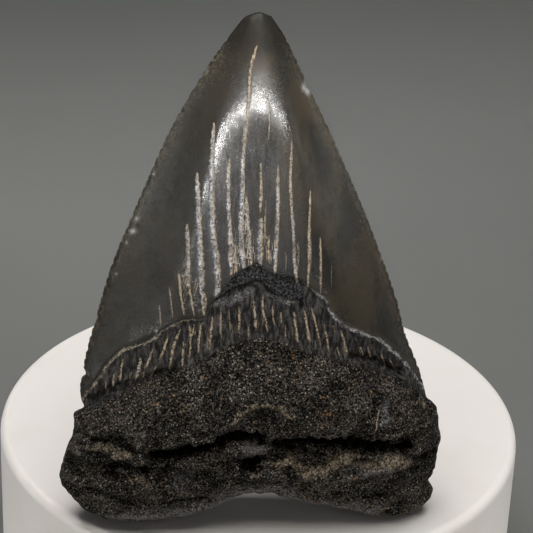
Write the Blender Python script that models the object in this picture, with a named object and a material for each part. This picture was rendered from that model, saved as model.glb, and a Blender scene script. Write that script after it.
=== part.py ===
"""Fossil megalodon tooth standing upright on a round display pedestal.

Metres, +Z up. The origin is the centre of the pedestal's underside. The tooth turns its lingual
(tongue side) face towards -Y and leans back a little.

The tooth is shaped in its own plane, in millimetres: u runs across it to the right, v up it from
the root's lobes to the tip, and w out of its lingual face, with w = 0 in the plane of the cutting
edges. A grid spans the outline, and every form is a height added to that grid.
"""
import math

import bmesh
import bpy
import numpy as np
from mathutils import Euler, Vector, noise

for old in list(bpy.data.objects):
    bpy.data.objects.remove(old)

MM = 0.001

# Pedestal, metres
PEDESTAL_RADIUS = 0.070
PEDESTAL_HEIGHT = 0.050
PEDESTAL_RIM_ROUND = 0.0025
PEDESTAL_FOOT_BEVEL = 0.0008
PEDESTAL_SIDES = 72
PEDESTAL_RIM_STEPS = 4

# How the tooth stands on it, metres and degrees
TOOTH_SPOT = (-0.001, -0.045)
TOOTH_YAW = 7.5
TOOTH_LEAN = 10.0
CONTACT_GAP = 0.0003
CONTACT_WEAR = 0.0006

# Everything below is in millimetres.
# Outline, (u, v): each side runs from its lobe to the tip
LEFT_SIDE = [(-43, 4.5), (-46, 7.5), (-47.8, 12.5), (-46.8, 18.5), (-45, 24.5), (-44.2, 28.5),
             (-42.6, 30.5), (-42.8, 35.5), (-41.8, 41), (-39.9, 48.7), (-34.8, 65.4), (-27.6, 83.3),
             (-19.7, 100.8), (-12, 113.8), (-4.7, 123.8), (-2.8, 125.7)]
RIGHT_SIDE = [(43.3, 1.3), (45.3, 4.5), (46, 10), (46.8, 18), (46, 26.3), (44.6, 29),
              (43, 31.5), (41.3, 37.4), (37.6, 46.5), (35.2, 55.8), (28.4, 73.4), (20.6, 91.5),
              (12.8, 107.8), (7.2, 119.2), (4.5, 123.5), (3, 125.6)]
UNDERSIDE = [(-43, 4.5), (-38.5, 1.2), (-33, -0.1), (-28, -0.5), (-22.9, 0.2), (-14, 2.8), (-5, 5.6),
             (2, 6.5), (8, 5.1), (17, 2.2), (27.3, -0.1), (34, -0.5), (39, -0.2), (43.3, 1.3)]
TIP = [(-2.8, 125.7), (0.1, 126.6), (3, 125.6)]
CROWN_SIDE_BASE, CROWN_SIDE_TOP = 32.0, 122.0

# Thickness up the middle of the tooth, (v, w), on its lingual front and its labial back
CROWN_FRONT = [(20, 14), (40, 13.3), (60, 12.4), (70, 12), (85, 11.3), (96, 10.55), (101, 10.05),
               (104, 9.55), (106, 9), (108, 8.3), (112, 6.7), (116, 5), (120, 3.3), (124, 1.6),
               (127, 0.5)]
CROWN_BACK = [(20, 5.5), (50, 4.9), (70, 3.9), (90, 2.7), (105, 1.8), (116, 1.2), (127, 0.8)]
ROOT_FRONT = [(-1, 9.5), (5, 11.2), (12, 12.4), (20, 13.6), (28, 14.7), (36, 15.1), (44, 14.3),
              (52, 13)]
ROOT_BACK = [(-1, 8.5), (10, 10.2), (25, 11), (40, 9.8), (52, 8.6)]
ROOT_FORWARD = 3.0
UNDERSIDE_ROUND_FRONT, UNDERSIDE_ROUND_BACK = 11.0, 8.0
EDGE_BLUNTNESS = 0.3

# Section of the crown's front, in shares of its half width: the middle of its swollen body, how
# much that rounds off, where its flanks begin and end, and the blades' share of the thickness
BODY_CENTRE, BODY_ROUND, BODY_FLAT, BODY_EDGE, BLADE_SHARE = -0.01, 0.7, 0.46, 1.0, 0.46

# Where the root meets the crown, (u, v), and how far below it the two blend
ROOT_TOP_FRONT = [(-48, 27.5), (-42, 30), (-32, 36), (-17, 43.4), (-5, 49.4), (0, 50.3), (7, 48.3),
                  (14.9, 45.1), (30, 39.1), (36, 36), (43, 30.5), (48, 27.5)]
ROOT_TOP_BACK = [(-48, 27), (-42.5, 30), (-30, 35), (0, 41.5), (30, 35.2), (43, 30.6), (48, 27.5)]
ROOT_BLEND_FRONT, ROOT_BLEND_BACK = 6.0, 8.0

# Steps at the ragged lower edge of the enamel, and round a flaked patch below it: route, height,
# and how far above it the surface stays raised
ENAMEL_EDGE = [(-43, 31.5), (-40.4, 35.6), (-38, 38.8), (-36.2, 42), (-32.6, 45.8), (-29.7, 47.2),
               (-26.1, 49), (-23.3, 51.5), (-18, 54.7), (-13.4, 55.3), (-11, 60.2), (-7.1, 65.4),
               (-1.2, 69), (1.5, 66.8), (8.2, 65), (13.5, 60.9), (16.1, 58.8), (17.4, 55.8), (19.7, 53),
               (23.4, 50.5), (30.5, 46.7), (33.2, 44.1), (37.5, 39.8), (42.5, 33)]
FLAKE_EDGE = [(-12.6, 57), (-11.2, 59.3), (-8.2, 61.6), (-5, 63.2), (-0.8, 64.8), (1.5, 62.6),
              (4.1, 61), (7.1, 59.8), (10.2, 59.5), (12.2, 60.4)]
ENAMEL_EDGE_BACK = [(-43, 31), (-34, 36.2), (-24, 39.8), (-12, 42.8), (0, 44.2), (12, 43),
                    (24, 40), (34, 36), (43, 31)]
STEPS_FRONT = [(ENAMEL_EDGE, 0.6, 1000), (FLAKE_EDGE, 0.7, 3.5)]
STEPS_BACK = [(ENAMEL_EDGE_BACK, 0.5, 1000)]

# Furrows across the root: route, reach above and below it, depth
FURROWS_FRONT = [
    ([(-28, 20.6), (-18.8, 22), (-12.7, 23.5), (-6.6, 26), (-1.4, 25.9), (2.4, 24.6)], 1.3, 1.9, 5.0),
    ([(2, 24.6), (9.6, 23.6), (19, 23.2), (27.1, 22), (33.6, 21), (39, 20.2)], 1.3, 2.1, 5.0),
    ([(-42, 23.8), (-38.5, 24.2), (-34, 23.6), (-29, 22.4)], 1.0, 0.9, 1.8),
    ([(-39, 17.2), (-35.8, 17.5), (-31.3, 18), (-25.5, 17.8)], 1.1, 1.3, 2.8),
    ([(-26, 8.6), (-16.7, 9.3), (-9.5, 8.4)], 0.9, 0.9, 1.8),
    ([(-4.5, 18), (-1, 18.8), (2.2, 19.8)], 1.4, 1.4, 2.6),
    ([(20.5, 6.2), (24.2, 7.6), (28, 8.1), (32.5, 8.5)], 1.0, 1.0, 1.5),
    ([(-45, 25.6), (-40.6, 28.2), (-36, 31)], 0.9, 0.9, 0.8),
    ([(-42, 31), (-38, 33.4), (-33.6, 35.8), (-26.2, 39), (-18, 42.3)], 1.2, 0.8, 1.5),
    ([(21.1, 44), (25.5, 42.3), (32.5, 39.1), (37.8, 35.9)], 1.2, 0.8, 1.6),
    ([(-11.6, 58), (-8.2, 60.6), (-5, 62.2), (-1.4, 63.6)], 0.7, 0.7, 1.2)]
FURROWS_BACK = [
    ([(-37, 13), (-20, 15.5), (-4, 17.3), (7, 16.8)], 1.8, 2.6, 1.5),
    ([(12, 20), (24, 21.5), (36, 19)], 1.4, 2.0, 1.6),
    ([(-28, 27.5), (-16, 30)], 0.9, 1.2, 1.0)]
FURROW_UNDERCUT = 0.4

# Raised lips, and the swollen top of the band below the enamel: route, reach above and below, height
LIPS_FRONT = [
    ([(2.9, 18.2), (5.7, 20), (11.1, 17.8), (14, 16.6), (16.4, 17.2), (20.7, 20), (24.7, 18.6),
      (32.8, 18.1), (38.5, 16)], 0.9, 4.0, 1.3),
    ([(-42, 22.3), (-36, 22.3), (-31, 21), (-27, 19.8)], 0.8, 2.2, 1.0),
    ([(-38, 15.2), (-30.9, 15.5), (-23.5, 14)], 0.9, 3.0, 0.9),
    ([(-8, 28.5), (-5.6, 31.9), (-2.5, 34.3), (0.1, 35), (2.9, 34.4), (5.6, 32.9), (9.5, 29.8)],
     1.6, 0.9, 1.1),
    ([(-41.5, 33.6), (-38, 38.6), (-36.2, 41.8), (-32.6, 45.5), (-29.7, 46.9), (-23.5, 51)], 0.5, 3.2, 0.9),
    ([(13.8, 60.4), (16, 58.4), (17.2, 55.5), (19.5, 52.7), (23.2, 50.2), (30.3, 46.4), (33, 43.8),
      (37.3, 39.5), (41.5, 33.8)], 0.5, 3.2, 1.0)]
LIPS_BACK = [([(-40, 24.5), (-22, 26), (-4, 25), (14, 26), (36, 22.5)], 2.0, 3.0, 0.9)]

# Hollows and bosses: centre, radii, height
SWELLS_FRONT = [((12.5, 21), (6.8, 3.1), -4.2), ((0.8, 30), (6, 3.8), -0.8), ((4.8, 24), (1.5, 1.7), 2.6),
                ((6.7, 29.8), (1.1, 1.1), 0.6), ((-31, 11), (8, 6), 1.0), ((29, 12), (9, 5), 1.2),
                ((-20, 17), (6, 3), 0.8), ((-34, 30), (8, 5), 0.8), ((33, 29), (8, 6), 0.9),
                ((-12, 35), (7, 6), 0.6), ((14, 36), (8, 5), 0.7)]
SWELLS_BACK = [((-6, 23), (1.2, 1.5), -2.2), ((9, 24.5), (1, 1), -1.8), ((-23, 9), (7, 5), 1.2),
               ((26, 9), (8, 5), 1.2), ((0, 46), (12, 9), -0.7), ((0, 10), (9, 4), -1)]

# Chips out of the outline: place, radius, depth; and the saw edge
CHIPS = [((-42, 38.6), 1.1, 0.9), ((46, 8.4), 1.5, 1.5), ((-42.8, 30), 1.2, 0.8),
         ((-29.3, 74.5), 1.6, 0.5), ((12.2, 109), 1.4, 0.5), ((-39, 51.6), 1, 0.4),
         ((44.3, 30.5), 1.2, 0.5)]
SERRATION_PITCH, SERRATION_DEPTH, SERRATION_REACH = 2.3, 0.3, 1.0

# Lumps of the surface: (size, height) of each octave
ROOT_LUMPS = [(13, 0.9), (6, 0.6), (3, 0.35)]
CROWN_LUMPS = [(16, 0.2)]

# Grid of the tooth's two faces, and the share of its triangles that is kept
COLUMNS, ROWS = 110, 190
KEPT_SHARE = 0.105
# Further than any two points of the tooth
FAR = 1e9


def smooth(x, low, high):
    """Zero below low, one above high, and an S curve between them."""
    x = np.clip((x - low) / (high - low), 0, 1)
    return x * x * (3 - 2 * x)


def spline(points, steps=20):
    """A Catmull-Rom curve through the points, and the share of its length at each of its points."""
    p = np.array(points, float)
    p = np.vstack([2 * p[0] - p[1], p, 2 * p[-1] - p[-2]])
    x = np.linspace(0, 1, steps, endpoint=False)[:, None]
    runs = [b + 0.5 * x * (c - a) + x * x * (a - 2.5 * b + 2 * c - 0.5 * d)
            + 0.5 * x**3 * (3 * b - a - 3 * c + d) for a, b, c, d in zip(p, p[1:], p[2:], p[3:])]
    curve = np.vstack(runs + [p[-2:-1]])
    length = np.r_[0, np.cumsum(np.hypot(*np.diff(curve, axis=0).T))]
    return curve, length


def at_share(curve, share):
    points, length = curve
    return [np.interp(share * length[-1], length, points[:, axis]) for axis in (0, 1)]


def level(table, x):
    """A smooth reading of a table of (x, height) that rises and falls only where the table does."""
    px, py = np.array(table, float).T
    step = np.diff(px)
    slope = np.diff(py) / step
    tangent = np.r_[slope[0], np.zeros(len(px) - 2), slope[-1]]
    turn = slope[:-1] * slope[1:]
    tangent[1:-1] = np.where(turn > 0, 2 * turn / np.where(turn > 0, slope[:-1] + slope[1:], 1), 0)
    x = np.clip(x, px[0], px[-1])
    i = np.clip(np.searchsorted(px, x, side="right") - 1, 0, len(px) - 2)
    f = (x - px[i]) / step[i]
    return (py[i] * (1 + 2 * f) * (1 - f) ** 2 + py[i + 1] * f * f * (3 - 2 * f)
            + step[i] * f * (1 - f) * (tangent[i] * (1 - f) - tangent[i + 1] * f))


LEFT, RIGHT, BELOW, ABOVE = (spline(side) for side in (LEFT_SIDE, RIGHT_SIDE, UNDERSIDE, TIP))


def span(s, t):
    """A Coons patch: the place (u, v) of each share s across the outline and t up it."""
    left, right = at_share(LEFT, t), at_share(RIGHT, t)
    below, above = at_share(BELOW, s), at_share(ABOVE, s)
    return [(1 - t) * below[k] + t * above[k] + (1 - s) * left[k] + s * right[k]
            - (1 - s) * (1 - t) * UNDERSIDE[0][k] - s * (1 - t) * UNDERSIDE[-1][k]
            - (1 - s) * t * TIP[0][k] - s * t * TIP[-1][k] for k in (0, 1)]


def beside(route, u, v, fade=2.5):
    """How far each point lies above a route (below it if negative), and a fade at the route's ends."""
    curve, length = spline(route, 6)
    above, nearest, place = np.zeros_like(u), np.full_like(u, FAR), np.zeros_like(u)
    for (ax, ay), (bx, by), start in zip(curve, curve[1:], length):
        dx, dy = bx - ax, by - ay
        run = math.hypot(dx, dy)
        f = np.clip(((u - ax) * dx + (v - ay) * dy) / run**2, 0, 1)
        gap = np.hypot(u - ax - f * dx, v - ay - f * dy)
        closer = gap < nearest
        side = np.where(dx * (v - ay) - dy * (u - ax) >= 0, 1, -1)
        nearest = np.where(closer, gap, nearest)
        above = np.where(closer, gap * side, above)
        place = np.where(closer, start + f * run, place)
    return above, smooth(np.minimum(place, length[-1] - place), -0.01, fade)


def trace(lines, u, v):
    """Sum of ridges along routes, each with its own reach above and below it."""
    total = np.zeros_like(u)
    for route, reach_above, reach_below, height in lines:
        above, fade = beside(route, u, v)
        total += height * fade * np.exp(-(above / np.where(above > 0, reach_above, reach_below)) ** 2)
    return total


def swell(bosses, u, v):
    return sum(height * np.exp(-((u - cu) / ru) ** 2 - ((v - cv) / rv) ** 2)
               for (cu, cv), (ru, rv), height in bosses)


def quarter_round(rise, size):
    """The rounding of an edge: zero at the edge, one past its size."""
    return np.sqrt(1 - (1 - np.clip(rise / size, 0, 1)) ** 2)


def crown_section(s, v, front):
    """Thickness across the crown, one at its middle: a swollen body between flat blades."""
    across = 2 * s - 1
    lens = (1 - np.abs(across) ** 2.2) ** 0.9
    if not front:
        return lens
    off_body = np.abs(across - BODY_CENTRE)
    body = (1 - BODY_ROUND * off_body**2) * (1 - smooth(off_body, BODY_FLAT, BODY_EDGE))
    bladed = BLADE_SHARE * (1 - across**2) + (1 - BLADE_SHARE) * body
    fullness = 0.75 * (1 - smooth(v, 38, 84)) + 0.5 * smooth(v, 108, 124)
    return lens * fullness + bladed * (1 - fullness)


def face_forms(s, t, u, v, front):
    """One face: its height over the plane of the cutting edges, its undercut in v, its share of root."""
    side_share = np.abs(2 * s - 1)
    half_width = 0.5 * (at_share(RIGHT, t)[0] - at_share(LEFT, t)[0])
    inset = (1 - side_share) * half_width
    rise = np.maximum(v - span(s, 0 * t)[1], 0)
    forward = ROOT_FORWARD * (1 - smooth(v, 28, 58))
    if front:
        crown_table, root_table, root_top, blend, underside = \
            CROWN_FRONT, ROOT_FRONT, ROOT_TOP_FRONT, ROOT_BLEND_FRONT, UNDERSIDE_ROUND_FRONT
        furrows, lips, swells, steps = FURROWS_FRONT, LIPS_FRONT, SWELLS_FRONT, STEPS_FRONT
    else:
        crown_table, root_table, root_top, blend, underside = \
            CROWN_BACK, ROOT_BACK, ROOT_TOP_BACK, ROOT_BLEND_BACK, UNDERSIDE_ROUND_BACK
        furrows, lips, swells, steps = FURROWS_BACK, LIPS_BACK, SWELLS_BACK, STEPS_BACK

    crown = (level(crown_table, v) - (forward if front else -forward)) * crown_section(s, v, front)
    crown = (crown + EDGE_BLUNTNESS * (1 - np.exp(-inset / EDGE_BLUNTNESS))) * quarter_round(1 - t, 0.02)
    root = level(root_table, v) * (1 - side_share**3.4) ** 0.52 * quarter_round(rise, underside)
    root_share = smooth(level(root_top, u) - v, -2, blend)
    height = root * root_share + crown * (1 - root_share)

    room = quarter_round(inset, 7) * quarter_round(rise, 3)
    cut = trace(furrows, u, v) * room
    height = height - cut + (trace(lips, u, v) + swell(swells, u, v)) * room
    for route, step, reach in steps:
        above, fade = beside(route, u, v)
        raised = smooth(above, -0.5, 0.5) * np.exp(-np.maximum(above, 0) / reach)
        height = height + step * fade * raised * room
    return forward, height, cut * FURROW_UNDERCUT, root_share


def saw_edges(s, t, u, v):
    """Cuts the serrations and the chips into the outline."""
    for curve, outward in ((LEFT, -1), (RIGHT, 1)):
        here = at_share(curve, t)
        ahead, behind = at_share(curve, np.minimum(t + 0.01, 1)), at_share(curve, np.maximum(t - 0.01, 0))
        du, dv = ahead[0] - behind[0], ahead[1] - behind[1]
        run = np.hypot(du, dv)
        arc = t * curve[1][-1]
        arc = arc + 0.7 * np.sin(0.37 * arc + outward) + 0.35 * np.sin(0.93 * arc)
        notch = np.abs(np.sin(np.pi * arc / SERRATION_PITCH)) ** 0.7 - 1
        crown = smooth(here[1], CROWN_SIDE_BASE, CROWN_SIDE_BASE + 5)
        crown = crown * (1 - smooth(here[1], CROWN_SIDE_TOP - 3, CROWN_SIDE_TOP))
        fade = np.exp(-np.hypot(u - here[0], v - here[1]) / SERRATION_REACH)
        shift = SERRATION_DEPTH * notch * crown * fade
        u = u + outward * dv / run * shift
        v = v - outward * du / run * shift
    for (cu, cv), radius, depth in CHIPS:
        u = u - math.copysign(depth, cu) * np.exp(-((u - cu) ** 2 + (v - cv) ** 2) / radius**2)
    return u, v


def tooth_grid():
    """Points of the front and back faces, which share their rim, and each point's share of root."""
    even = np.linspace(0, 1, COLUMNS + 1)
    s, t = np.meshgrid(0.5 * even + 0.25 * (1 - np.cos(np.pi * even)), np.linspace(0, 1, ROWS + 1))
    u, v = span(s, t)
    saw_u, saw_v = saw_edges(s, t, u, v)
    faces = []
    for front in (True, False):
        forward, height, undercut, root_share = face_forms(s, t, u, v, front)
        w = forward + height if front else forward - height
        faces.append((np.stack([saw_u, saw_v + undercut, w], -1), root_share))
    return faces


def tooth_mesh():
    (front, front_root), (back, back_root) = tooth_grid()
    rows, columns = front_root.shape
    number = np.arange(rows * columns).reshape(rows, columns)
    behind = number.copy()
    inner = np.arange((rows - 2) * (columns - 2)).reshape(rows - 2, columns - 2)
    behind[1:-1, 1:-1] = rows * columns + inner
    points = np.vstack([front.reshape(-1, 3), back[1:-1, 1:-1].reshape(-1, 3)])
    root_share = np.r_[front_root.ravel(), back_root[1:-1, 1:-1].ravel()]
    quads = [np.stack([n[:-1, :-1], n[:-1, 1:], n[1:, 1:], n[1:, :-1]], -1).reshape(-1, 4)
             for n in (number, behind)]
    faces = np.vstack([quads[0], quads[1][:, ::-1]])

    mesh = bpy.data.meshes.new("tooth")
    u, v, w = points.T
    mesh.from_pydata(np.stack([u, -w, v], -1) * MM, [], faces.tolist())
    roughen(mesh, root_share)
    return mesh


def roughen(mesh, root_share):
    """Moves each point along its normal by the lumps of the root or the faint waves of the crown."""
    count = len(mesh.vertices)
    places, normals = np.empty(count * 3), np.empty(count * 3)
    mesh.vertices.foreach_get("co", places)
    mesh.vertex_normals.foreach_get("vector", normals)
    places, normals = places.reshape(-1, 3), normals.reshape(-1, 3)
    root_lumps, crown_lumps = (
        np.array([sum(height * noise.noise(Vector(place) / (size * MM)) for size, height in lumps)
                  for place in places]) for lumps in (ROOT_LUMPS, CROWN_LUMPS))
    lumps = root_lumps * root_share + crown_lumps * (1 - root_share)
    places += normals * lumps[:, None] * MM
    mesh.vertices.foreach_set("co", places.ravel())


def material(name, colour, roughness):
    surface = bpy.data.materials.new(name)
    surface.use_nodes = True
    shader = surface.node_tree.nodes["Principled BSDF"]
    shader.inputs["Base Color"].default_value = (*colour, 1)
    shader.inputs["Roughness"].default_value = roughness
    shader.inputs["Metallic"].default_value = 0
    return surface


def lowest(tooth, turn):
    depsgraph = bpy.context.evaluated_depsgraph_get()
    depsgraph.update()
    shown = tooth.evaluated_get(depsgraph).data
    return min((turn @ vertex.co).z for vertex in shown.vertices)


def make_tooth():
    mesh = tooth_mesh()
    turn = Euler((-math.radians(TOOTH_LEAN), 0, math.radians(TOOTH_YAW))).to_matrix()
    floor = min((turn @ vertex.co).z for vertex in mesh.vertices) + CONTACT_WEAR
    for vertex in mesh.vertices:
        sunk = floor - (turn @ vertex.co).z
        if sunk > 0:
            vertex.co += turn.inverted() @ Vector((0, 0, sunk))

    tooth = bpy.data.objects.new("tooth", mesh)
    bpy.context.collection.objects.link(tooth)
    reduce = tooth.modifiers.new("keep the forms", "DECIMATE")
    reduce.ratio = KEPT_SHARE
    tooth.rotation_euler = turn.to_euler()
    tooth.location = (*TOOTH_SPOT, PEDESTAL_HEIGHT + CONTACT_GAP - lowest(tooth, turn))
    mesh.materials.append(material("fossil_tooth", (0.028, 0.027, 0.025), 0.45))
    return tooth


def make_pedestal():
    """A turned disc with a rounded rim and a small bevel at its foot."""
    centre = (PEDESTAL_RADIUS - PEDESTAL_RIM_ROUND, PEDESTAL_HEIGHT - PEDESTAL_RIM_ROUND)
    profile = [(0, PEDESTAL_HEIGHT)]
    for step in range(PEDESTAL_RIM_STEPS + 1):
        angle = math.pi / 2 * (1 - step / PEDESTAL_RIM_STEPS)
        profile.append((centre[0] + PEDESTAL_RIM_ROUND * math.cos(angle),
                        centre[1] + PEDESTAL_RIM_ROUND * math.sin(angle)))
    profile += [(PEDESTAL_RADIUS, PEDESTAL_FOOT_BEVEL), (PEDESTAL_RADIUS - PEDESTAL_FOOT_BEVEL, 0), (0, 0)]

    form = bmesh.new()
    ring = [form.verts.new((radius, 0, height)) for radius, height in profile]
    edges = [form.edges.new(pair) for pair in zip(ring, ring[1:])]
    bmesh.ops.spin(form, geom=ring + edges, cent=(0, 0, 0), axis=(0, 0, 1), angle=2 * math.pi,
                   steps=PEDESTAL_SIDES, use_merge=True)
    bmesh.ops.remove_doubles(form, verts=form.verts, dist=0.00001)
    bmesh.ops.recalc_face_normals(form, faces=form.faces)
    mesh = bpy.data.meshes.new("pedestal")
    form.to_mesh(mesh)
    form.free()
    mesh.shade_smooth()
    mesh.set_sharp_from_angle(angle=math.radians(35))
    mesh.materials.append(material("white_plastic", (0.74, 0.72, 0.69), 0.5))
    pedestal = bpy.data.objects.new("pedestal", mesh)
    bpy.context.collection.objects.link(pedestal)
    return pedestal


make_pedestal()
make_tooth()
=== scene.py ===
"""Looks of the megalodon tooth on its display pedestal: surfaces, floor, light and camera."""
import math
import random

import bmesh
import bpy
import numpy as np
from mathutils import Euler, Matrix, Vector, noise


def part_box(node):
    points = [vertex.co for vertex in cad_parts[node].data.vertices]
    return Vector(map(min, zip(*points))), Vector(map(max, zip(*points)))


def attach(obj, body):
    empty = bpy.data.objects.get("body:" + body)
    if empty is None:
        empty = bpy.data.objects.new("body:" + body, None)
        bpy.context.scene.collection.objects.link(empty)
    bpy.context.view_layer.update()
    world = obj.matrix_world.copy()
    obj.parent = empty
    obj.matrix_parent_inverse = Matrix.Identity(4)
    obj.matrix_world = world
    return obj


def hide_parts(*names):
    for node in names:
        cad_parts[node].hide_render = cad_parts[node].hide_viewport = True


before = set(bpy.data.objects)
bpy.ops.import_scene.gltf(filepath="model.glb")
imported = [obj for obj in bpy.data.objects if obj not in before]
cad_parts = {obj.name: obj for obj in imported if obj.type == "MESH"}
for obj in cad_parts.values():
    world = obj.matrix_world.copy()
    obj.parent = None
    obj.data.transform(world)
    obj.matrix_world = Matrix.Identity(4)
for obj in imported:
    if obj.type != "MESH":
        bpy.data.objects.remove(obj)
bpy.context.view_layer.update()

MM = 0.001

# The pedestal and how the tooth stands on it, metres and degrees
_, (STAND_RADIUS, _, STAND_HEIGHT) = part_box("pedestal")
STAND_RIM_ROUND = 0.0025
STAND_FOOT_BEVEL = 0.0008
STAND_SIDES = 256
STAND_RIM_STEPS = 10
STAND_SHARP_ANGLE = 35
MERGE_DISTANCE = 0.00001
TOOTH_SPOT = (-0.001, -0.045)
TOOTH_YAW = 7.5
TOOTH_LEAN = 10
CONTACT_WEAR = 0.0006

# Everything about the tooth's form is in millimetres: u across it, v up it, and w out of its
# lingual face, with w = 0 in the plane of the cutting edges. A pair of lists or numbers is for its
# lingual front, then its labial back. The outline's sides run from a lobe to the tip.
LEFT_SIDE = [(-43, 4.5), (-46, 7.5), (-47.8, 12.5), (-46.8, 18.5), (-45, 24.5), (-44.2, 28.5),
    (-42.6, 30.5), (-42.8, 35.5), (-41.8, 41), (-39.9, 48.7), (-34.8, 65.4), (-27.6, 83.3),
    (-19.7, 100.8), (-12, 113.8), (-4.7, 123.8), (-2.8, 125.7)]
RIGHT_SIDE = [(43.3, 1.3), (45.3, 4.5), (46, 10), (46.8, 18), (46, 26.3), (44.6, 29), (43, 31.5),
    (41.3, 37.4), (37.6, 46.5), (35.2, 55.8), (28.4, 73.4), (20.6, 91.5), (12.8, 107.8),
    (7.2, 119.2), (4.5, 123.5), (3, 125.6)]
UNDERSIDE = [(-43, 4.5), (-38.5, 1.2), (-33, -0.1), (-28, -0.5), (-22.9, 0.2), (-14, 2.8),
    (-5, 5.6), (2, 6.5), (8, 5.1), (17, 2.2), (27.3, -0.1), (34, -0.5), (39, -0.2), (43.3, 1.3)]
TIP = [(-2.8, 125.7), (0.1, 126.6), (3, 125.6)]
CROWN_SIDE_BASE, CROWN_SIDE_TOP = 32, 122

# Thickness up the middle of the tooth: (v, w)
CROWN_THICKNESS = ([
    (20, 14), (40, 13.3), (60, 12.4), (70, 12), (85, 11.3), (96, 10.55), (101, 10.05),
    (104, 9.55), (106, 9), (108, 8.3), (112, 6.7), (116, 5), (120, 3.3), (124, 1.6), (127, 0.5)], [
    (20, 5.5), (50, 4.9), (70, 3.9), (90, 2.7), (105, 1.8), (116, 1.2), (127, 0.8)])
ROOT_THICKNESS = ([
    (-1, 9.5), (5, 11.2), (12, 12.4), (20, 13.6), (28, 14.7), (36, 15.1), (44, 14.3),
    (52, 13)], [
    (-1, 8.5), (10, 10.2), (25, 11), (40, 9.8), (52, 8.6)])
# How far the root stands forward of the blades, and where that fades out
ROOT_FORWARD, FORWARD_FADE = 3, (28, 58)
# How square the root's section is
ROOT_SQUARE, ROOT_FULL = 3.4, 0.52
UNDERSIDE_ROUND = 11, 8
EDGE_BLUNTNESS = 0.3
# The share of its height over which the tip thins out
TIP_ROUND = 0.02

# Section of the crown's front, in shares of its half width: the middle of its swollen body, how
# much that rounds off, where its flanks begin and end, and the blades' share
BODY_CENTRE, BODY_ROUND, BODY_FLAT, BODY_EDGE, BLADE_SHARE = -0.01, 0.7, 0.46, 1, 0.46
# The plain lens it turns into near the root and at the tip: two powers, then share and heights
LENS_POWER, LENS_FULL = 2.2, 0.9
LENS_LOW, LENS_HIGH = (0.75, (38, 84)), (0.5, (108, 124))

# Where the root meets the crown, (u, v), and how far below it the two blend
ROOT_TOP = ([
    (-48, 27.5), (-42, 30), (-32, 36), (-17, 43.4), (-5, 49.4), (0, 50.3), (7, 48.3),
    (14.9, 45.1), (30, 39.1), (36, 36), (43, 30.5), (48, 27.5)], [
    (-48, 27), (-42.5, 30), (-30, 35), (0, 41.5), (30, 35.2), (43, 30.6), (48, 27.5)])
ROOT_BLEND, ROOT_BLEND_START = (6, 8), -2
# Relief fades out this near to the sides and the underside
ROOM_SIDES, ROOM_BELOW = 7, 3

# Steps at the ragged lower edge of the enamel, and round a flaked patch below it: route, height,
# and how far above it they stay raised
ENAMEL_EDGE = [(-43, 31.5), (-40.4, 35.6), (-38, 38.8), (-36.2, 42), (-32.6, 45.8), (-29.7, 47.2),
    (-26.1, 49), (-23.3, 51.5), (-18, 54.7), (-13.4, 55.3), (-11, 60.2), (-7.1, 65.4), (-1.2, 69),
    (1.5, 66.8), (8.2, 65), (13.5, 60.9), (16.1, 58.8), (17.4, 55.8), (19.7, 53), (23.4, 50.5),
    (30.5, 46.7), (33.2, 44.1), (37.5, 39.8), (42.5, 33)]
FLAKE_EDGE = [(-12.6, 57), (-11.2, 59.3), (-8.2, 61.6), (-5, 63.2), (-0.8, 64.8), (1.5, 62.6),
    (4.1, 61), (7.1, 59.8), (10.2, 59.5), (12.2, 60.4)]
ENAMEL_EDGE_BACK = [(-43, 31), (-34, 36.2), (-24, 39.8), (-12, 42.8), (0, 44.2), (12, 43), (24, 40),
    (34, 36), (43, 31)]
STEP_SOFTNESS = 0.4
STEPS = ([(ENAMEL_EDGE, 0.6, 1000), (FLAKE_EDGE, 0.7, 3.5)], [(ENAMEL_EDGE_BACK, 0.5, 1000)])

# Furrows across the root: route, reach above and below it, depth
FURROWS = ([
    ([(-28, 20.6), (-18.8, 22), (-12.7, 23.5), (-6.6, 26), (-1.4, 25.9), (2.4, 24.6)], 1.3, 1.9, 5),
    ([(2, 24.6), (9.6, 23.6), (19, 23.2), (27.1, 22), (33.6, 21), (39, 20.2)], 1.3, 2.1, 5),
    ([(-42, 23.8), (-38.5, 24.2), (-34, 23.6), (-29, 22.4)], 1, 0.9, 1.8),
    ([(-39, 17.2), (-35.8, 17.5), (-31.3, 18), (-25.5, 17.8)], 1.1, 1.3, 2.8),
    ([(-26, 8.6), (-16.7, 9.3), (-9.5, 8.4)], 0.9, 0.9, 1.8),
    ([(-4.5, 18), (-1, 18.8), (2.2, 19.8)], 1.4, 1.4, 2.6),
    ([(20.5, 6.2), (24.2, 7.6), (28, 8.1), (32.5, 8.5)], 1, 1, 1.5),
    ([(-45, 25.6), (-40.6, 28.2), (-36, 31)], 0.9, 0.9, 0.8),
    ([(-42, 31), (-38, 33.4), (-33.6, 35.8), (-26.2, 39), (-18, 42.3)], 1.2, 0.8, 1.5),
    ([(21.1, 44), (25.5, 42.3), (32.5, 39.1), (37.8, 35.9)], 1.2, 0.8, 1.6),
    ([(-11.6, 58), (-8.2, 60.6), (-5, 62.2), (-1.4, 63.6)], 0.7, 0.7, 1.2)], [
    ([(-37, 13), (-20, 15.5), (-4, 17.3), (7, 16.8)], 1.8, 2.6, 1.5),
    ([(12, 20), (24, 21.5), (36, 19)], 1.4, 2, 1.6), ([(-28, 27.5), (-16, 30)], 0.9, 1.2, 1)])
FURROW_UNDERCUT = 0.4

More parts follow.
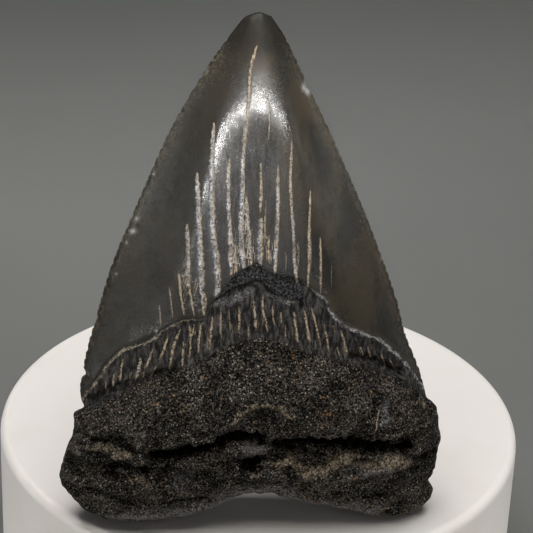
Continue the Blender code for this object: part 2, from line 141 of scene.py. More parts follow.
# Raised lips, and the swollen top of the band below the enamel: route, reach above and below, height
LIPS = ([
    ([(2.9, 18.2), (5.7, 20), (11.1, 17.8), (14, 16.6), (16.4, 17.2), (20.7, 20), (24.7, 18.6),
      (32.8, 18.1), (38.5, 16)], 0.9, 4, 1.3),
    ([(-42, 22.3), (-36, 22.3), (-31, 21), (-27, 19.8)], 0.8, 2.2, 1),
    ([(-38, 15.2), (-30.9, 15.5), (-23.5, 14)], 0.9, 3, 0.9),
    ([(-8, 28.5), (-5.6, 31.9), (-2.5, 34.3), (0.1, 35), (2.9, 34.4), (5.6, 32.9),
      (9.5, 29.8)], 1.6, 0.9, 1.1),
    ([(-41.5, 33.6), (-38, 38.6), (-36.2, 41.8), (-32.6, 45.5), (-29.7, 46.9), (-23.5, 51)], 0.5, 3.2, 0.9),
    ([(13.8, 60.4), (16, 58.4), (17.2, 55.5), (19.5, 52.7), (23.2, 50.2), (30.3, 46.4), (33, 43.8),
      (37.3, 39.5), (41.5, 33.8)], 0.5, 3.2, 1)], [
    ([(-40, 24.5), (-22, 26), (-4, 25), (14, 26), (36, 22.5)], 2, 3, 0.9)])

# Hollows and bosses: centre, radii, height
SWELLS = ([
    ((12.5, 21), (6.8, 3.1), -4.2), ((0.8, 30), (6, 3.8), -0.8), ((4.8, 24), (1.5, 1.7), 2.6),
    ((6.7, 29.8), (1.1, 1.1), 0.6), ((-31, 11), (8, 6), 1), ((29, 12), (9, 5), 1.2),
    ((-20, 17), (6, 3), 0.8), ((-34, 30), (8, 5), 0.8), ((33, 29), (8, 6), 0.9), ((-12, 35), (7, 6), 0.6),
    ((14, 36), (8, 5), 0.7)], [
    ((-6, 23), (1.2, 1.5), -2.2), ((9, 24.5), (1, 1), -1.8), ((-23, 9), (7, 5), 1.2), ((26, 9), (8, 5), 1.2),
    ((0, 46), (12, 9), -0.7), ((0, 10), (9, 4), -1)])

# Chips out of the outline: place, radius, depth; and the saw edge
CHIPS = [
    ((-42, 38.6), 1.1, 0.9), ((46, 8.4), 1.5, 1.5), ((-42.8, 30), 1.2, 0.8), ((-29.3, 74.5), 1.6, 0.5),
    ((12.2, 109), 1.4, 0.5), ((-39, 51.6), 1, 0.4), ((44.3, 30.5), 1.2, 0.5)]
SERRATION_PITCH, SERRATION_DEPTH, SERRATION_REACH = 2.3, 0.3, 1

# Lumps of the surface: (size, height) of each octave
ROOT_LUMPS = [(13, 0.9), (6, 0.6), (3, 0.35)]
CROWN_LUMPS = [(16, 0.2)]

# Seams: cracks in the enamel filled with tan sediment, from the top down, and their half width
CRACKS = [
    ([(-0.3, 120.8), (-2.5, 114.2), (-3.1, 106.8), (-4.1, 98.9), (-4.5, 90.3), (-4.7, 80.3), (-4.7, 74.2),
      (-4.1, 68.4), (-4, 66.2)], 0.4),
    ([(-3.7, 86.3), (-3.3, 80.2), (-2.9, 74.1), (-2.4, 69.1), (-2.2, 67.2)], 0.26),
    ([(-11, 103.1), (-11.5, 96.2), (-11.7, 88.2), (-11.5, 78.7), (-10.7, 70.7), (-10.2, 63.1),
      (-10.8, 59.7), (-11.4, 58)], 0.45),
    ([(-14.9, 91.1), (-14.9, 87.1), (-14.6, 78.1), (-14.3, 70.2), (-14, 63.1), (-13.6, 57.6),
      (-13.4, 55)], 0.38), ([(-17.4, 79.1), (-17.2, 71.1), (-17, 63.5), (-16, 57.3), (-15.5, 54.8)], 0.28),
    ([(-19.4, 67), (-18.8, 60.2), (-17.9, 54.7)], 0.25),
    ([(-21.7, 63.3), (-21.1, 58.3), (-20.7, 53.6)], 0.18), ([(-23.9, 58.5), (-23.6, 51.8)], 0.17),
    ([(-7.6, 95.3), (-7.9, 88.3), (-7.7, 80.3), (-7.2, 73), (-7.1, 67.7), (-7.1, 65)], 0.33),
    ([(-6.4, 74.3), (-6, 68.2), (-5.9, 66)], 0.2), ([(-0.4, 94.3), (-0.2, 86.3), (-0.4, 80.2)], 0.25),
    ([(-0.1, 81.3), (-0.3, 75.2), (-0.2, 69.7), (-0.2, 67.4)], 0.46),
    ([(1.6, 109.3), (1.7, 102.7), (1.2, 97.4)], 0.22),
    ([(3.8, 93.4), (3.9, 82.6), (3.6, 74.6), (3.3, 67.2), (3.2, 65)], 0.3),
    ([(7.2, 99), (6.9, 91.8), (6.9, 85.4), (7.6, 77.1), (8.1, 69), (8.7, 64.2), (8.9, 62.4)], 0.26),
    ([(12, 86.9), (11.6, 78.4), (11.6, 70.3), (11.5, 63), (11.5, 60.8)], 0.21),
    ([(14.3, 75.4), (14.6, 68.2), (14.6, 61), (14.6, 59)], 0.18), ([(1.7, 76.3), (1.9, 68.2)], 0.17),
    ([(-7.7, 104.3), (-7.5, 97.3)], 0.13), ([(-13.7, 62.6), (-13, 59.2), (-13.5, 55.8)], 0.22),
    ([(29.4, 33.1), (28.4, 29.4), (27.8, 25.4)], 0.23)]

# Tan lines down the band between enamel and root
STRIAE = [
    ([(-36.7, 38.5), (-36.6, 34)], 0.18), ([(-34.7, 40.5), (-34.9, 35.3)], 0.24),
    ([(-32.3, 44.5), (-32.9, 41.4), (-33.4, 36.4)], 0.24), ([(-30.9, 40.7), (-30.9, 37.6)], 0.2),
    ([(-28.2, 45.3), (-28.8, 41.6), (-29.8, 37.4)], 0.34),
    ([(-25.1, 47.8), (-26.7, 43), (-27.5, 41.4)], 0.24), ([(-27.6, 41.4), (-27.7, 38.5)], 0.2),
    ([(-21.7, 50.9), (-22.9, 46.8), (-24.4, 43.6)], 0.27), ([(-24.4, 43.6), (-26.1, 38.8)], 0.22),
    ([(-18.5, 53.3), (-20, 49.5), (-20.9, 46.4), (-21.8, 41)], 0.3),
    ([(-18.2, 49.9), (-18.4, 45.9), (-18.7, 42.6)], 0.28),
    ([(-17, 54.6), (-16.6, 50.3), (-16.9, 43.9)], 0.25), ([(-15.7, 54), (-16, 50.3)], 0.2),
    ([(-13.5, 55.2), (-14.4, 51.6), (-14.8, 45.7)], 0.27),
    ([(-11.4, 57), (-11.6, 52.9), (-12.3, 46.1)], 0.27), ([(-9.4, 58.8), (-9.5, 53), (-9.2, 48.9)], 0.22),
    ([(-7.6, 58.8), (-7.1, 50)], 0.15), ([(-5.2, 59.2), (-5, 49.6)], 0.23),
    ([(-2.8, 54.2), (-2.8, 50.2)], 0.17), ([(-1.8, 60.6), (-1.3, 56), (-1, 51.1)], 0.3),
    ([(0.5, 62), (0.6, 57.2), (1.3, 54.4), (1.9, 50.5)], 0.27),
    ([(2.9, 59.3), (3.1, 54.9), (3.8, 52.6)], 0.2), ([(4.9, 57), (5.1, 53.3)], 0.2),
    ([(6, 53.9), (6.2, 49)], 0.17), ([(6.8, 60), (7.1, 57.6)], 0.2),
    ([(8.1, 57.5), (8.6, 53.1), (9.4, 47.8)], 0.3), ([(10.5, 57.5), (11.2, 54.1), (12.5, 47.2)], 0.28),
    ([(12.1, 58.4), (13.7, 52.7), (14.7, 48.2), (15.2, 45.9)], 0.23),
    ([(15.4, 53.7), (16.4, 49.6), (17.2, 44.9)], 0.23), ([(17.7, 52.9), (18.7, 49.9)], 0.15),
    ([(19, 47.1), (19.8, 44.1)], 0.18), ([(19.6, 52), (20.6, 48.7), (22.3, 43)], 0.24),
    ([(23.6, 48.5), (24.2, 47.2)], 0.13), ([(24.9, 46.4), (26.3, 42.4)], 0.23),
    ([(26.8, 46.4), (28.3, 41.5)], 0.17), ([(30.5, 43.6), (32.1, 39)], 0.2),
    ([(32.8, 42), (34.6, 37.7)], 0.2)]
# Faint lines over the band and hairlines above it: how many, across which u, length, half width
FAINT_STRIAE, STRIA_FIELD, STRIA_RUN, FAINT_STRIA_HALF = 16, (-38, 75), (3, 7), 0.1
HAIRLINES, HAIRLINE_FIELD, HAIRLINE_RUN, HAIRLINE_HALF = 12, (-20, 38), (5, 14), 0.09
# Hairlines in the enamel of the labial face
CRACKS_BACK = [
    ([(-9, 78), (-9.6, 62), (-9.2, 47)], 0.24), ([(3.5, 92), (3.2, 74), (2.6, 55), (2.8, 46)], 0.28),
    ([(14, 70), (14.6, 57), (15.4, 44)], 0.22), ([(-20, 60), (-21, 50), (-21.4, 42)], 0.2),
    ([(24.5, 56), (25.4, 48), (26, 40.5)], 0.2)]

# Tan sediment that lies on the root, and pale grey bloom, partly painted bounced light: route, reach,
# strength
TAN_ROUTES = ([
    ([(3, 17.4), (5.7, 19.4), (8.8, 18.4), (12, 17), (15, 16.4), (18.3, 18.7), (20.7, 19.6), (24.7, 18),
      (32.8, 17.6), (38, 16)], 1.5, 1),
    ([(-7.5, 29.5), (-5.6, 32.3), (-2.5, 34.7), (0.1, 35.3), (2.9, 34.7), (5.6, 33.2),
      (9.3, 30.2)], 0.7, 1), ([(-43, 22), (-38, 22.6), (-34, 22.2), (-29, 21)], 0.9, 0.9),
    ([(-32, 15.3), (-28, 14.9), (-23.8, 14.2)], 0.6, 0.9),
    ([(-44, 26.8), (-40.6, 28.8), (-37, 31)], 0.5, 0.8), ([(36.9, 32.8), (41.6, 29.2), (43, 28)], 0.45, 1),
    ([(33, 32.1), (35.4, 30.4), (38.7, 28.7)], 0.4, 0.8), ([(-3.5, 15.2), (0.1, 16.3), (3, 16.6)], 0.6, 0.9),
    ([(-17, 19), (-10, 20), (-5, 23)], 1.4, 0.5), ([(28.5, 24), (27.8, 27)], 0.5, 0.8),
    ([(-12, 46.5), (-5, 49.2), (0, 50), (7, 48)], 0.6, 0.5)], [
    ([(-36, 12.4), (-20, 14.8), (-4, 16.6), (7, 16)], 0.9, 0.8),
    ([(12, 19), (24, 20.4), (36, 18)], 0.8, 0.7),
    ([(-20, 40.5), (-5, 43.6), (6, 43.8), (22, 40)], 0.5, 0.5)])
# The first route of each face follows the underside's edge: there the pale grey is painted light bounced up
# from the pedestal
BLOOM_AND_BOUNCE_ROUTES = ([
    ([(-37, 1.8), (-27.7, 3.4), (-21.4, 3.4), (-16.7, 5), (-9, 7.6), (-3.2, 9.6), (3.6, 10), (7.6, 8.4),
      (11.4, 5.4), (20, 3.2), (32, 2.5)], 2, 0.75), ([(30.7, 34.5), (30.6, 31), (30, 27.5)], 1, 0.9),
    ([(-5, 22.5), (0, 22.8), (2.5, 21)], 1.1, 0.6), ([(-22, 14), (-15, 16)], 2, 0.3),
    ([(24, 16.5), (34, 15)], 1.8, 0.5),
    ([(-11.7, 57.4), (-9.1, 58.9), (-4.9, 60.4), (-1.4, 62.4)], 0.6, 0.9),
    ([(0.8, 61.8), (4.1, 60.2), (7.1, 58.9), (10.4, 58.6)], 0.6, 0.8),
    ([(-15, 61.8), (-15.3, 58.8), (-14.7, 56.4)], 0.9, 0.9), ([(-9.8, 56), (-9.5, 51)], 0.6, 0.6),
    ([(-29.5, 41.2), (-29.9, 38.4)], 0.5, 0.7), ([(-12.7, 49.5), (-12.6, 46.8)], 0.7, 0.7)], [
    ([(-36, 2), (-20, 3.5), (-5, 8), (8, 8), (22, 3.6), (36, 2)], 2.2, 0.8)])
# Bright nicks in the crown's edges: place, radius
NICKS = [
    ((11.3, 108.8), 0.8), ((12.1, 107.8), 0.7), ((-28.9, 77.2), 0.45), ((-30.1, 74), 0.5),
    ((-31.3, 71.2), 0.3), ((-41.2, 38.8), 0.4), ((-33.8, 63.5), 0.25), ((31.2, 66), 0.35),
    ((-24.8, 88), 0.3)]

# Pockets under the edge of the flake: place, radii
PITS = [
    ((-10.9, 59.6), (0.8, 1.0)), ((-4.2, 60.2), (0.6, 1.2)), ((-0.9, 61.2), (0.6, 1.5)),
    ((2.2, 60.3), (0.5, 1.2)), ((5.5, 59), (0.6, 1.3)), ((9.7, 57.6), (1.1, 0.8))]
PIT_DEPTH = 0.5
# How far the furrows stray from their routes
FURROW_WOBBLE = 0.7
# How far the sediment and bloom stray from theirs
STAIN_WOBBLE = 0.9

# The mesh: three columns of the front meet each column of the back
BACK_COLUMNS, ROWS = 68, 345
COLUMNS = 3 * BACK_COLUMNS
ROOT_GRAINS = [(3.4, 0.4), (1.6, 0.2), (0.9, 0.1)]
# Ledges weathered into the lower root: size along each axis, height, between which v they end, and
# how far the surface has to face forward or back
LEDGE_SIZE, LEDGE_HEIGHT, LEDGE_FADE, LEDGE_FACING = (10, 10, 3.2), 1.3, (24, 31), (0.2, 0.7)
FINE_SERRATION_DEPTH = 0.16
SEAM_RELIEF = 0.1
STRIA_LEAN = 0.012
# A seam's width at its ends and at the band, and how it changes up the tooth and between which v
SEAM_END_SHARE, SEAM_BASE, SEAM_WIDENS, SEAM_NARROWS = 0.4, 0.8, (0.4, (58, 68)), (0.6, (72, 105))
# Further than any two points of the tooth, and how far from its line a zone reaches
FAR, OFF_ZONE = 1e9, 9.0

# Light and camera, metres and degrees. Lights: what they are aimed at, azimuth (0 is in front, 90
# to the right) and elevation seen from it, distance, size, power, colour, spread
LIT_POINT = (0, -0.045, 0.1)
LIGHTS = [
    ("front_fill", LIT_POINT, (5, 5), 1.3, (2.0, 0.3), 0.7, (0.97, 0.99, 1), 180),
    ("left_glow", (0, -0.045, 0.2), (-58, 11), 1.2, (0.8, 0.7), 0.028, (0.98, 0.99, 1), 40),
    ("right_glow", (0, -0.045, 0.2), (92, 5), 1.2, (0.7, 0.6), 0.022, (1, 0.98, 0.93), 40),
    ("left_wall_fill", (-0.05, -0.03, 0.02), (-50, 1), 0.75, (0.3, 0.03), 0.048, (1, 0.98, 0.95), 14),
    ("right_wall_fill", (0.05, -0.03, 0.02), (50, 1), 0.75, (0.3, 0.03), 0.052, (1, 0.98, 0.95), 14),
    ("tip_glow", (0, -0.045, 0.217), (14, 50), 1.0, (0.5, 0.22), 0.003, (1, 0.99, 0.97), 20),
    ("overhead", LIT_POINT, (0, 88), 0.6, (0.6, 0.6), 5.8, (1, 0.985, 0.965), 180),
]
# An arch of gridded tiles in front, aimed over the tooth so that it lights the crown alone: azimuth
# and elevation of its centre, its reach sideways and up, and the angles between which it shines;
# then its tiles and how bright its feet are
ARCH_CENTRE, ARCH_REACH, ARCH_RUN = (12, 9), (46, 31), (-90, 70)
ARCH_TILES, ARCH_DISTANCE, ARCH_TILE_DEPTH, ARCH_FEET = 10, 1.1, 0.07, (0.95, 0.65)
ARCH_AIM, ARCH_SPREAD = (0, -0.045, 0.235), 13
ARCH_RADIANCE, ARCH_COLOUR = 2.1, (1, 0.99, 0.97)
ROOM_COLOUR, ROOM_LIGHT = (0.97, 0.98, 1.0), 0.06
FLOOR_SIZE = 8.0
SENSOR, FOCAL_LENGTH = 36.0, 135.5
CAMERA_PITCH, CAMERA_ROLL = 27.07, 2.33
CAMERA_SPOT = (0.00035, -0.4686, 0.3354)
NEAREST_SEEN = 0.05

# Colours, linear. A pair runs from dark places to light ones, or from left to right; a mark is how
# well it covers what is under it, and its colour.
ENAMEL = (0.011, 0.0115, 0.0105), (0.016, 0.0145, 0.0125)
STAIN, SPECKLE = (1, (0.034, 0.027, 0.017)), (0.45, (0.052, 0.047, 0.038))
# TIP_DARKENING makes the enamel darker towards the tip
TIP_DARKENING, EDGE_WEAR = (0.6, (0.007, 0.0062, 0.005)), (1, (0.1, 0.085, 0.06))
ABRASION, FLUTING = (0.6, (0.085, 0.083, 0.083)), (0.5, (0.06, 0.059, 0.06))
BAND = (0.007, 0.0065, 0.006), (0.075, 0.07, 0.066)
# ROOT and BARE run from the gaps between grains to their tops: the stone's own tone, with painted shade in
# the gaps
ROOT = (0.0025, 0.0022, 0.002), (0.13, 0.115, 0.097)
FINE_GRAIN, COARSE_GRAIN = (1, (0.6, 0.53, 0.43)), (1, (0.6, 0.52, 0.41))
RUST, BARE_GRAIN = (1, (0.36, 0.2, 0.08)), (1, (0.24, 0.235, 0.245))
BARE = (0.009, 0.0085, 0.0085), (0.1, 0.098, 0.1)
# Seam filling: pale filling whose left side is also a painted highlight; the shoulder is a painted highlight
# on the enamel left of a seam
PALE_AND_LIT_SEAM, SEAM_SHOULDER_HIGHLIGHT = ((0.04, 0.04, 0.043), (0.52, 0.52, 0.55)), (0.55, (0.16, 0.16, 0.165))
TAN_SEAM = (0.045, 0.032, 0.02), (0.44, 0.35, 0.235)
# The lip: tan sediment on its left side, and on its right a grey painted highlight along the ridge's crest
LIP_TAN_AND_HIGHLIGHT, LIP_GAP = ((0.3, 0.255, 0.19), (0.27, 0.27, 0.265)), (0.03, 0.028, 0.024)
SILT = (0.13, 0.085, 0.04), (0.58, 0.48, 0.35)
# BLOOM_AND_BOUNCE: pale grey bloom, and painted bounced light along the underside's edge
# HOLLOW_SHADE: painted shade that darkens furrows, pits and the troughs between ledges
BLOOM_AND_BOUNCE, NICK, HOLLOW_SHADE = (1, (0.28, 0.27, 0.275)), (1, (0.24, 0.24, 0.235)), (0.92, (0.0015, 0.0013, 0.001))
PEDESTAL = (0.73, 0.7, 0.675), (0.7, 0.665, 0.63)
FLOOR = (0.145, 0.149, 0.143), (0.156, 0.16, 0.153)

# Noises: size in millimetres, detail, roughness and stretch
NOISES = {
    "ragged": (1.1, 3, 0.6), "torn": (2.6, 3, 0.65), "seam_breadth": (1.6, 4, 0.75),
    "seam_gaps": (0.9, 4, 0.75), "scratch": (0.5, 3, 0.65, (1, 1, 0.25)),
    "streak": (0.8, 4, 0.75, (1, 1, 0.3)), "grain": (0.5, 4, 0.85), "patch": (6, 4, 0.65),
    "silt_edge": (1.6, 4, 0.8), "polish": (9, 2, 0.5), "band_finish": (0.6, 2, 0.5),
    "root_finish": (0.4, 2, 0.5), "pores": (1.1, 3, 0.7), "lumps": (3.4, 3, 0.6), "filling": (0.5, 3, 0.7),
    "pedestal_finish": (3, 3, 0.6), "pedestal_skin": (0.6, 2, 0.5), "floor": (60, 2, 0.5)}
# Patches of noise: the same, after the readings between which a patch comes in
PATCHES = {
    "warm": (0.4, 0.62, 22, 2, 0.5), "stain": (0.42, 0.6, 7, 4, 0.65, (1, 1, 0.4)),
    "speckle": (0.4, 0.66, 0.42, 3, 0.8), "abrasion": (0.45, 0.64, 0.33, 4, 0.8),
    "fibres": (0.38, 0.62, 0.8, 4, 0.75, (1, 1, 0.1)), "edge_wear": (0.47, 0.6, 0.9, 3, 0.75),
    "lip": (0.34, 0.52, 1.8, 3, 0.7), "fleck": (0.38, 0.56, 0.55, 3, 0.75),
    "whiter": (0.38, 0.6, 3.5, 3, 0.7), "lit_shoulder": (0.42, 0.62, 0.6, 3, 0.7),
    "rust": (0.42, 0.6, 7, 2, 0.5), "pale_patches": (0.44, 0.6, 0.45, 3, 0.75),
    "silt": (0.35, 0.65, 0.8, 3, 0.7), "mottle": (0.35, 0.65, 2.2, 4, 0.7),
    "fine_mottle": (0.35, 0.65, 0.45, 3, 0.7), "veins": (0.45, 0.75, 30, 3, 0.6)}
# Grains: size in millimetres, and the share of the surface that they fill
FINE_GRAINS, COARSE_GRAINS, RUST_GRAINS, BARE_GRAINS = (0.42, 0.4), (0.65, 0.14), (0.8, 0.3), (0.5, 0.3)
GRAIN_ROUNDING = (0.25, 0.55)

# How ragged the edges of the enamel, root, seams, hollows and flaked patch are
ENAMEL_RAGGED, ROOT_RAGGED, SEAM_RAGGED, HOLLOW_RAGGED, BARE_RAGGED = 1.6, 3, 2.6, 2, (1.4, 2.2)
# Between which places each look comes in: millimetres past an edge,
ENAMEL_SPAN, ROOT_SPAN, BARE_SPAN = (-0.15, 0.15), (-0.5, 0.5), (-0.3, 0.3)
LIP_START, LIP_END = (-0.6, -0.25), (0, 0.3)
# half widths from the middle of a seam, half widths of seams in millimetres,
FILL_END, TAN_START, LIT_SHOULDER_END, LIT_SHOULDER_SIDE = (0.6, 1.4), (0.1, 0.5), (1.1, 2.6), (0.4, 0.9)
SLIGHT_SEAM, WIDE_SEAM = (0.06, 0.2), (0.2, 0.38)
# millimetres up the tooth,
DULLER_SEAMS, DARK_TIP, DULL_TIP, DULL_BASE = (80, 105), (112, 122), (105, 119), (62, 88)
# and readings of zones and noises
SEAM_NEAR, SEAM_WHOLE, STREAKS = (0.36, 0.46), (0.72, 0.98), (0.42, 0.66)
PEAKS, BARE_PEAKS, BARED, SILT_GRAIN = (0.49, 0.63), (0.45, 0.62), (-0.12, 0.1), (0.42, 0.6)
SILT_SPAN, TROUGHS, DEEP = (0.68, 1), (-0.02, -0.2), (0.5, 2.6)
SEAM_BREADTH = (0.25, 1.55)
# The least of fine seams, white, stain, grains and silt
SEAM_LEAST, WHITE_LEAST, STAIN_LEAST, GRAIN_LEAST, SILT_LEAST = 0.15, 0.25, 0.3, 0.5, 0.1
# How much zones, patches and troughs count beside the noise that breaks them up
SEAM_HOLD, SEAM_FADE, PATCH_HOLD, SILT_HOLD, TROUGH_DEPTH = 0.5, 0.5, 0.25, 0.5, 1.3

# Roughness: the enamel's, and what its waves, scratches, abrasion and worn edges add; the others'
ENAMEL_ROUGHNESS, ENAMEL_ROUGHENING = 0.14, (0.07, 0.06, 0.06, 0.25)
BAND_ROUGHNESS, ROOT_ROUGHNESS, SILT_ROUGHNESS = (0.25, 0.65), (0.35, 0.75), 0.7
STAND_ROUGHNESS, FLOOR_ROUGHNESS = (0.42, 0.54), 0.75
# Gloss, where 0.5 is plain, its mottling, and how much of it abrasion, then hollows, worn edges,
# tip and lower crown lose
ENAMEL_GLOSS, BAND_GLOSS, ROOT_GLOSS, TOOTH_IOR = 0.9, 0.2, (0.05, 0.45), 1.6
GLOSS_MOTTLE, ABRASION_DULLING, DULLING = (0.55, 1), 0.55, (0.9, 0.5, 0.9, 0.45)
# Relief: of grain and pores, lumps, streaks and grain, scratches and abrasion, and filling
STONE_RELIEF, LUMP_RELIEF, BAND_RELIEF = (0.8, 0.6), 1.3, (0.35, 0.15)
ENAMEL_RELIEF, FILL_RELIEF = (0.03, 0.01), 0.3
TOOTH_RELIEF, STAND_RELIEF = 0.9, 0.012


def smooth(x, low, high):
    """Zero below low, one above high, and an S curve between them."""
    x = np.clip((x - low) / (high - low), 0, 1)
    return x * x * (3 - 2 * x)


def spline(points, steps=20):
    """A Catmull-Rom curve through the points, and the length run at each of its points."""
    p = np.array(points, float)
    p = np.vstack([2 * p[0] - p[1], p, 2 * p[-1] - p[-2]])
    x = np.linspace(0, 1, steps, endpoint=False)[:, None]
    runs = [b + 0.5 * x * (c - a) + x * x * (a - 2.5 * b + 2 * c - 0.5 * d)
            + 0.5 * x**3 * (3 * b - a - 3 * c + d) for a, b, c, d in zip(p, p[1:], p[2:], p[3:])]
    curve = np.vstack(runs + [p[-2:-1]])
    return curve, np.r_[0, np.cumsum(np.hypot(*np.diff(curve, axis=0).T))]


def at_share(curve, share):
    points, length = curve
    return [np.interp(share * length[-1], length, points[:, axis]) for axis in (0, 1)]


def level(table, x):
    """A smooth reading of a table of (x, height) that rises and falls only where the table does."""
    px, py = np.array(table, float).T
    step = np.diff(px)
    slope = np.diff(py) / step
    tangent = np.r_[slope[0], np.zeros(len(px) - 2), slope[-1]]
    turn = slope[:-1] * slope[1:]
    tangent[1:-1] = np.where(turn > 0, 2 * turn / np.where(turn > 0, slope[:-1] + slope[1:], 1), 0)
    x = np.clip(x, px[0], px[-1])
    i = np.clip(np.searchsorted(px, x, side="right") - 1, 0, len(px) - 2)
    f = (x - px[i]) / step[i]
    return (py[i] * (1 + 2 * f) * (1 - f) ** 2 + py[i + 1] * f * f * (3 - 2 * f)
            + step[i] * f * (1 - f) * (tangent[i] * (1 - f) - tangent[i + 1] * f))


LEFT, RIGHT, BELOW, ABOVE = (spline(side) for side in (LEFT_SIDE, RIGHT_SIDE, UNDERSIDE, TIP))


def span(s, t):
    """A Coons patch: the place (u, v) of each share s across the outline and t up it."""
    left, right = at_share(LEFT, t), at_share(RIGHT, t)
    below, above = at_share(BELOW, s), at_share(ABOVE, s)
    return [(1 - t) * below[k] + t * above[k] + (1 - s) * left[k] + s * right[k]
            - (1 - s) * (1 - t) * UNDERSIDE[0][k] - s * (1 - t) * UNDERSIDE[-1][k]
            - (1 - s) * t * TIP[0][k] - s * t * TIP[-1][k] for k in (0, 1)]


def beside(route, u, v, fade=2.5):
    """How far each point lies to the left of a route (its right if negative), and a fade at its ends."""
    curve, length = spline(route, 6)
    above, nearest, place = np.zeros_like(u), np.full_like(u, FAR), np.zeros_like(u)
    for (ax, ay), (bx, by), start in zip(curve, curve[1:], length):
        dx, dy = bx - ax, by - ay
        run = math.hypot(dx, dy)
        f = np.clip(((u - ax) * dx + (v - ay) * dy) / run**2, 0, 1)
        gap = np.hypot(u - ax - f * dx, v - ay - f * dy)
        closer = gap < nearest
        side = np.where(dx * (v - ay) - dy * (u - ax) >= 0, 1, -1)
        nearest = np.where(closer, gap, nearest)
        above = np.where(closer, gap * side, above)
        place = np.where(closer, start + f * run, place)
    return above, smooth(np.minimum(place, length[-1] - place), -0.01, fade)


def around(route, u, v, margin=6):
    """The points near enough to a route to matter to it."""
    low, high = np.min(route, 0) - margin, np.max(route, 0) + margin
    return (u > low[0]) & (u < high[0]) & (v > low[1]) & (v < high[1])


def trace(lines, u, v):
    """Sum of ridges along routes, each with its own reach above and below it."""
    total = np.zeros_like(u)
    for route, reach_above, reach_below, height in lines:
        near = around(route, u, v, 14)
        above, fade = beside(route, u[near], v[near])
        total[near] += height * fade * np.exp(-(above / np.where(above > 0, reach_above, reach_below)) ** 2)
    return total


def seams(lines, u, v):
    """Offset from the nearest seam in its half widths, how strongly it shows, and its half width."""
    offset, strength, width = np.full_like(u, OFF_ZONE), np.zeros_like(u), np.zeros_like(u)
    (more, more_run), (less, less_run) = SEAM_WIDENS, SEAM_NARROWS
    for route, half in lines:
        near = around(route, u, v)
        taper = min(4, 0.3 * math.dist(route[0], route[-1]))
        side, fade = beside(route, u[near], v[near], taper)
        shape = SEAM_BASE + more * smooth(v[near], *more_run) - less * smooth(v[near], *less_run)
        halves = half * (SEAM_END_SHARE + (1 - SEAM_END_SHARE) * fade) * shape
        side = side / halves
        closer = (np.abs(side) < np.abs(offset[near])) & (fade > 0.02)
        offset[near] = np.where(closer, side, offset[near])
        strength[near] = np.where(closer, smooth(fade, 0, 0.4), strength[near])
        width[near] = np.where(closer, halves, width[near])
    return offset, strength, width


def wobble(x, size):
    """An uneven wave along x."""
    return size * (np.sin(1.3 * x + 2 * np.sin(0.6 * x)) + 0.6 * np.sin(2.7 * x + 1.3 + np.sin(1.7 * x))) / 2


def swell(bosses, u, v):
    return sum(height * np.exp(-((u - cu) / ru) ** 2 - ((v - cv) / rv) ** 2)
               for (cu, cv), (ru, rv), height in bosses)


def quarter_round(rise, size):
    """The rounding of an edge: zero at the edge, one past its size."""
    return np.sqrt(1 - (1 - np.clip(rise / size, 0, 1)) ** 2)


def crown_section(s, v, front):
    """Thickness across the crown, one at its middle: a swollen body between flat blades."""
    across = 2 * s - 1
    lens = (1 - np.abs(across) ** LENS_POWER) ** LENS_FULL
    if not front:
        return lens
    off_body = np.abs(across - BODY_CENTRE)
    body = (1 - BODY_ROUND * off_body**2) * (1 - smooth(off_body, BODY_FLAT, BODY_EDGE))
    bladed = BLADE_SHARE * (1 - across**2) + (1 - BLADE_SHARE) * body
    (low, low_run), (high, high_run) = LENS_LOW, LENS_HIGH
    plain = low * (1 - smooth(v, *low_run)) + high * smooth(v, *high_run)
    return lens * plain + bladed * (1 - plain)


